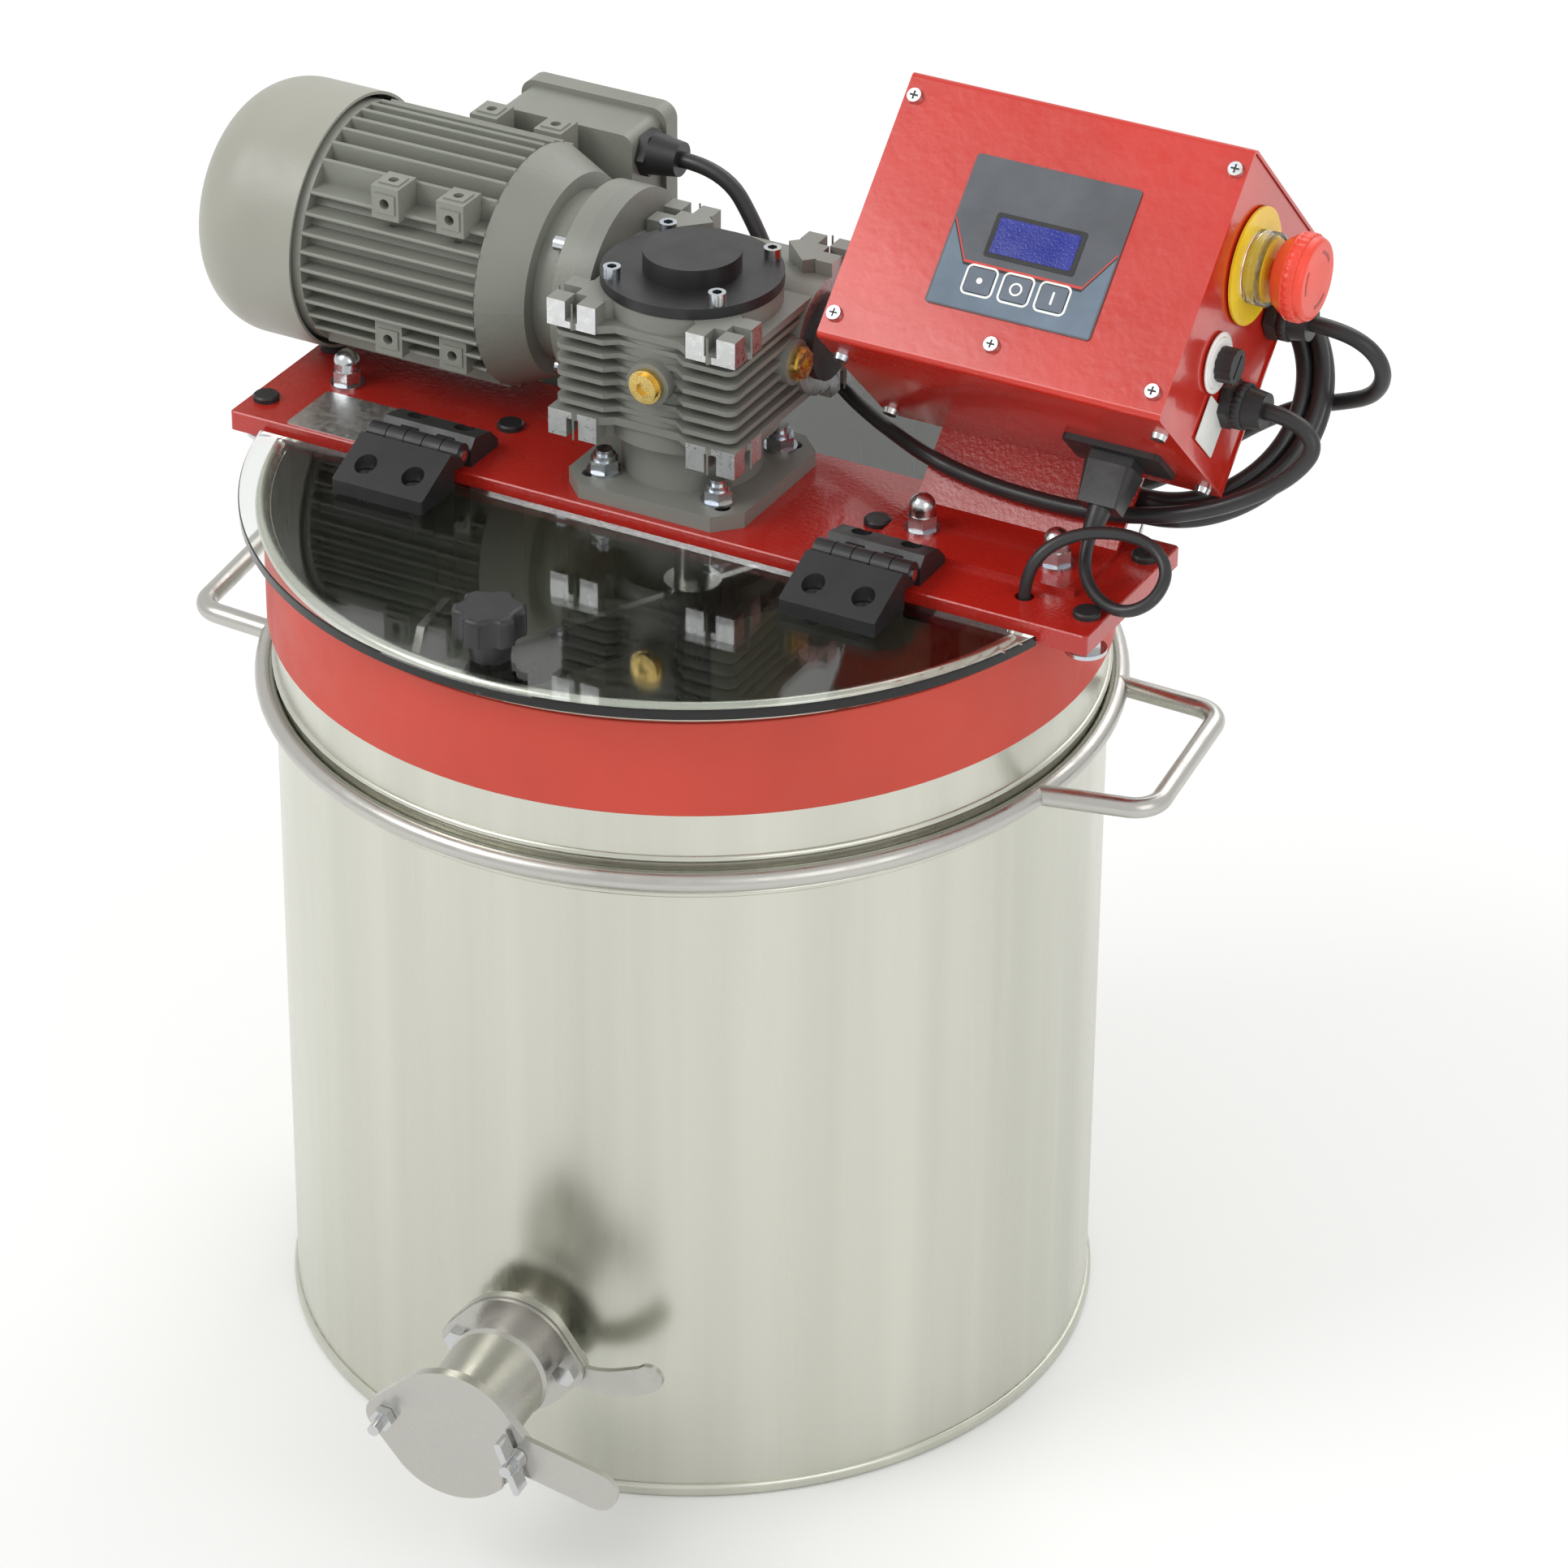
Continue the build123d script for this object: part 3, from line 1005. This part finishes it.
with BuildPart() as box_body:
    with BuildSketch(box_plane.offset(-BOX_D)):
        with Locations((BOX_W / 2, BOX_H / 2)):
            Rectangle(BOX_W, BOX_H)
    extrude(amount=SHEET)
    with BuildSketch(box_plane.offset(-BOX_D)):
        for x in (1 + SHEET / 2, BOX_W - 1 - SHEET / 2):
            with Locations((x, BOX_H / 2)):
                Rectangle(SHEET, BOX_H - 2 * SHEET - 0.6)
        for x in (8, BOX_W - 8):
            for y in (SHEET + 1.05, BOX_H - SHEET - 1.05):
                with Locations((x, y)):
                    Rectangle(14, SHEET)
    extrude(amount=BOX_D - SHEET - 0.3)
    for x in (8, BOX_W - 8):
        with BuildSketch(box_plane.offset(-2 * SHEET - 0.3)):
            with Locations((x, BOX_H / 2)):
                Rectangle(14, BOX_H - 2 * SHEET - 0.6)
        extrude(amount=SHEET)
    with BuildSketch(box_plane.offset(-4)):
        with Locations(*FACE_SCREWS[:4]):
            Circle(2.05)
    extrude(amount=4, mode=Mode.SUBTRACT)
    with BuildSketch(side_plane):
        with Locations(ESTOP_AT, UPPER_GLAND, LOWER_GLAND):
            Circle(8.1)
        with Locations(FUSE_AT):
            Circle(6.1)
    extrude(amount=-5, mode=Mode.SUBTRACT)
    with BuildSketch(under_plane):
        with Locations(*UNDER_SCREWS):
            Circle(2.05)
    extrude(amount=-5, mode=Mode.SUBTRACT)
save(box_body, "box_body")

with BuildPart() as box_screws:
    for plane, places in ((box_plane, FACE_SCREWS), (under_plane, UNDER_SCREWS)):
        with BuildSketch(plane):
            with Locations(*places):
                Circle(4)
        extrude(amount=2.6, taper=12)
        with BuildSketch(plane.offset(-6)):
            with Locations(*places):
                Circle(2)
        extrude(amount=6)
save(box_screws, "box_screws")

with BuildPart() as control_panel:
    with BuildSketch(box_plane):
        with Locations((PANEL_X, PANEL_Y)):
            RectangleRounded(PANEL_W, PANEL_H, 2)
        with Locations(*((x, KEY_Y) for x in KEY_XS)):
            Rectangle(KEY_W + 0.4, KEY_H + 0.4, mode=Mode.SUBTRACT)
    extrude(amount=0.8)
    with BuildSketch(box_plane.offset(-14)):
        with Locations((PANEL_X + 0.8, 66.5)):
            Rectangle(49, 25)
    extrude(amount=14)
save(control_panel, "control_panel")

for key_x, key_name in zip(KEY_XS, ("key_p", "key_o", "key_i")):
    with BuildPart() as key:
        with BuildSketch(box_plane.offset(-SHEET)):
            with Locations((key_x, KEY_Y)):
                Rectangle(KEY_W, KEY_H)
        extrude(amount=SHEET + 1.2)
        with BuildSketch(box_plane.offset(-SHEET - 1.5)):
            with Locations((key_x, KEY_Y)):
                Circle(2.5)
        extrude(amount=1.5)
    save(key, key_name)

with BuildPart() as estop_base:
    with BuildSketch(side_plane):
        with Locations(ESTOP_AT):
            Circle(28)
    extrude(amount=1.2)
    with BuildSketch(side_plane.offset(1.2)):
        with Locations(ESTOP_AT):
            Circle(15)
    extrude(amount=9)
    with BuildSketch(side_plane.offset(-40)):
        with Locations(ESTOP_AT):
            Rectangle(28, 28)
    extrude(amount=36)
    with BuildSketch(side_plane.offset(-5)):
        with Locations(ESTOP_AT):
            Circle(7.9)
    extrude(amount=8)
    with BuildSketch(side_plane.offset(-30)):
        with Locations(ESTOP_AT):
            Circle(5.5)
    extrude(amount=60, mode=Mode.SUBTRACT)
save(estop_base, "estop_base")

with BuildPart() as estop_head:
    with BuildSketch(side_plane.offset(-18)):
        with Locations(ESTOP_AT):
            Circle(5.2)
    extrude(amount=33)
    with BuildSketch(side_plane.offset(15)):
        with Locations(ESTOP_AT):
            Circle(16)
    extrude(amount=7, taper=-35)
    with BuildSketch(side_plane.offset(22)):
        with Locations(ESTOP_AT):
            Circle(20.9)
    extrude(amount=10, taper=8)
    fillet(estop_head.faces().sort_by(Axis.X)[-1].edges(), 2.5)
save(estop_head, "estop_head")

with BuildPart() as fuse_holder:
    with BuildSketch(side_plane):
        with Locations(FUSE_AT):
            Circle(12)
    extrude(amount=2)
    with BuildSketch(side_plane.offset(-30)):
        with Locations(FUSE_AT):
            Circle(5.9)
    extrude(amount=30)
    with BuildSketch(side_plane.offset(-12)):
        with Locations(FUSE_AT):
            Circle(4.5)
    extrude(amount=40, mode=Mode.SUBTRACT)
save(fuse_holder, "fuse_holder")

with BuildPart() as fuse_cap:
    with BuildSketch(side_plane.offset(2.2)):
        with Locations(FUSE_AT):
            Circle(8.5)
            with PolarLocations(9.5, 12):
                Circle(1.6, mode=Mode.SUBTRACT)
    extrude(amount=8)
    with BuildSketch(side_plane.offset(-8)):
        with Locations(FUSE_AT):
            Circle(4.3)
    extrude(amount=11)
    with BuildSketch(side_plane.offset(8.7)):
        with Locations(FUSE_AT):
            Rectangle(12, 1.6)
    extrude(amount=3, mode=Mode.SUBTRACT)
save(fuse_cap, "fuse_cap")

with BuildPart() as power_inlet:
    with BuildSketch(under_plane):
        with Locations(INLET_AT):
            RectangleRounded(INLET_W, INLET_H, 3)
    extrude(amount=3)
    with BuildSketch(under_plane.offset(-16)):
        with Locations(INLET_AT):
            Rectangle(INLET_W - 7, INLET_H - 7)
    extrude(amount=16)
    with BuildSketch(under_plane.offset(-12)):
        with Locations(INLET_AT):
            Rectangle(22.4, 16.4)
    extrude(amount=20, mode=Mode.SUBTRACT)
save(power_inlet, "power_inlet")

with BuildPart() as switch_lead_plug:
    with BuildSketch(under_plane.offset(-10)):
        with Locations(INLET_AT):
            Rectangle(22, 16)
    extrude(amount=18)
    with BuildSketch(under_plane.offset(8)):
        with Locations(INLET_AT):
            RectangleRounded(26, 19, 4)
    extrude(amount=20, taper=9)
    with BuildSketch(under_plane.offset(28)):
        with Locations(INLET_AT):
            Circle(5.5)
    extrude(amount=12, taper=5)
save(switch_lead_plug, "switch_lead_plug")

with BuildPart() as control_board:
    with BuildSketch(box_plane.offset(-BOX_D + SHEET + 8)):
        with Locations((70, BOX_H / 2)):
            Rectangle(95, 90)
    extrude(amount=1.6)
    with BuildSketch(box_plane.offset(-BOX_D + SHEET)):
        with Locations(*((70 + sx * 42, BOX_H / 2 + sy * 40) for sx in (-1, 1) for sy in (-1, 1))):
            Circle(3)
    extrude(amount=8)
    with BuildSketch(box_plane.offset(-BOX_D + SHEET + 9.6)):
        with Locations((45, 80)):
            Rectangle(34, 40)
    extrude(amount=26)
    with BuildSketch(box_plane.offset(-BOX_D + SHEET + 9.6)):
        with Locations((95, 45)):
            Rectangle(24, 30)
    extrude(amount=14)
save(control_board, "control_board")

with BuildPart() as cable_glands:
    for place in (UPPER_GLAND, LOWER_GLAND):
        gland(Plane(origin=side_plane.from_local_coords((*place, 0)), x_dir=(0, 1, 0), z_dir=(1, 0, 0)), CORD_R)
    gland(Plane(origin=TERMINAL_GLAND, x_dir=(0, 1, 0), z_dir=(1, 0, 0)), CORD_R)
save(cable_glands, "cable_glands")

with BuildPart() as gearmotor_screws:
    with BuildSketch(gear_plane.offset(COVER_TOP)):
        with Locations(*cover_screw_places):
            Circle(4.2)
            RegularPolygon(2.5, 6, mode=Mode.SUBTRACT)
    extrude(amount=6)
    for place, outward in (((3, FRONT_Y + 1.5, AXIS_Z + 2), (0, -1, 0)), ((SIDE_X + 1, 9, AXIS_Z), (1, 0, 0))):
        plug_plane = Plane(origin=place, x_dir=(0, 0, 1), z_dir=outward)
        with BuildSketch(plug_plane):
            Circle(8.5)
        extrude(amount=3)
        with BuildSketch(plug_plane.offset(3)):
            Circle(7)
            RegularPolygon(3.6, 6, mode=Mode.SUBTRACT)
        extrude(amount=2)
    with BuildSketch(worm_plane.offset(BELL_END - 16)):
        with PolarLocations(46, 4, start_angle=45):
            Circle(3.8)
    extrude(amount=6)
    with BuildSketch(Plane(origin=(0, TERMINAL_Y + 40, 0), x_dir=(-1, 0, 0), z_dir=(0, 1, 0))):
        with Locations(*((-x, z) for x in (-161, -93) for z in (480, 566))):
            Circle(3.5)
    extrude(amount=2)
save(gearmotor_screws, "gearmotor_screws")

with BuildPart() as lid_switch:
    with Locations((150, -36, RIM_TOP)):
        Box(30, 12, 14, align=(Align.CENTER, Align.CENTER, Align.MAX))
    with Locations((150, -44, RIM_TOP - 5)):
        Cylinder(3, 8, rotation=(90, 0, 0))
save(lid_switch, "lid_switch")

# ---------------------------------------------------------------- cords
LEAD_POINTS = [
    (210.5, -0.4, 478.8), (211, -11, 468.2), (224, -25, 460.5), (243, -33, 460), (256, -26, 467),
    (256, -11, 478), (238, -5, 487), (209, -17, 487), (192, -31, 472), (192, -31, 453)]
MOTOR_CABLE_POINTS = [
    (-69, 114, 557), (-45, 114, 557), (-24, 109, 532), (-6, 100, 505), (20, 87, 485), (45, 70, 479.5),
    (66, 57, 477.5), (86, 45.5, 477), (108, 35, 475.5), (136, 32.5, 471), (165, 31, 470), (194, 31, 470.5),
    (223, 34, 474), (250, 38, 482), (273, 42, 494), (291, 46, 508), (300, 50, 523), (287, 52.2, 533.3),
    (272.5, 52.2, 533.3)]
MAINS_POINTS = [
    (272.5, 100.7, 557.3), (288, 100.7, 557.3), (303, 104, 549), (307, 110, 534), (299, 116, 519),
    (282, 120, 510), (262, 121, 503), (243, 112, 493), (224, 95, 480), (206, 77, 467), (190, 66.5, 460)]
TAIL_POINTS = [
    (203, 53.5, 464), (180, 60, 459), (156, 82, 455), (140, 112, 454.2), (132, 142, 454.2), (129, 160, 458)]
COIL_CENTRE = Vector(213, 97.5, 510.0)
COIL_R, BUNDLE_R = 62.0, 10.0
MAINS_PLUG_LOW = RIM_TOP + LID_T


def bend_radii(points):
    """One radius for each bend, so that every pair of runs meets in a smooth tangent arc."""
    radii = []
    for before, here, after in zip(points, points[1:], points[2:]):
        run_in, run_out = Vector(*here) - Vector(*before), Vector(*after) - Vector(*here)
        half_turn = radians(run_in.get_angle(run_out)) / 2
        radii.append(0.45 * min(run_in.length, run_out.length) / tan(half_turn))
    return radii


def cord(stretches, radius, name):
    """One or more uncoiled stretches of a round cord, each swept along runs joined by tangent arcs."""
    with BuildPart() as tube:
        for points in stretches:
            radii = bend_radii(points)
            with BuildLine() as path:
                FilletPolyline(*points, radius=radii)
            with BuildSketch(Plane(origin=path.line @ 0, z_dir=path.line % 0)):
                Circle(radius)
            sweep(path=path.line)
            length = sum(edge.length for edge in path.edges())
            print(name, "radii", [round(r) for r in radii], "length", round(length))
    print(name, "volume", round(tube.part.volume), "mm3 against", round(pi * radius**2 * length), "for the last")
    save(tube, name)


cord([LEAD_POINTS], LEAD_R, "switch_lead")
cord([MOTOR_CABLE_POINTS], CORD_R, "motor_cable")
cord([MAINS_POINTS, TAIL_POINTS], CORD_R, "mains_cord")

with BuildPart() as mains_coil:
    with BuildSketch(Plane(origin=COIL_CENTRE + Vector(COIL_R, 0, 0), x_dir=(1, 0, 0), z_dir=(0, Q, Q))):
        Circle(BUNDLE_R)
    coil_axis = Axis(tuple(COIL_CENTRE), (0, -Q, Q))
    revolve(axis=coil_axis)
save(mains_coil, "mains_coil")

with BuildPart() as mains_plug:
    with Locations(Location((129, 160, MAINS_PLUG_LOW + 13))):
        Cylinder(6, 18, rotation=(-90, 0, 0), align=(Align.CENTER, Align.CENTER, Align.MIN))
    with Locations((129, 176, MAINS_PLUG_LOW)):
        Box(34, 32, 26, align=(Align.CENTER, Align.MIN, Align.MIN))
    fillet(mains_plug.edges().filter_by(Axis.Y), 8)
    for side in (-1, 1):
        with Locations((129 + side * 9.5, 208, MAINS_PLUG_LOW + 13)):
            Cylinder(2.4, 19, rotation=(-90, 0, 0), align=(Align.CENTER, Align.CENTER, Align.MIN))
save(mains_plug, "mains_plug")
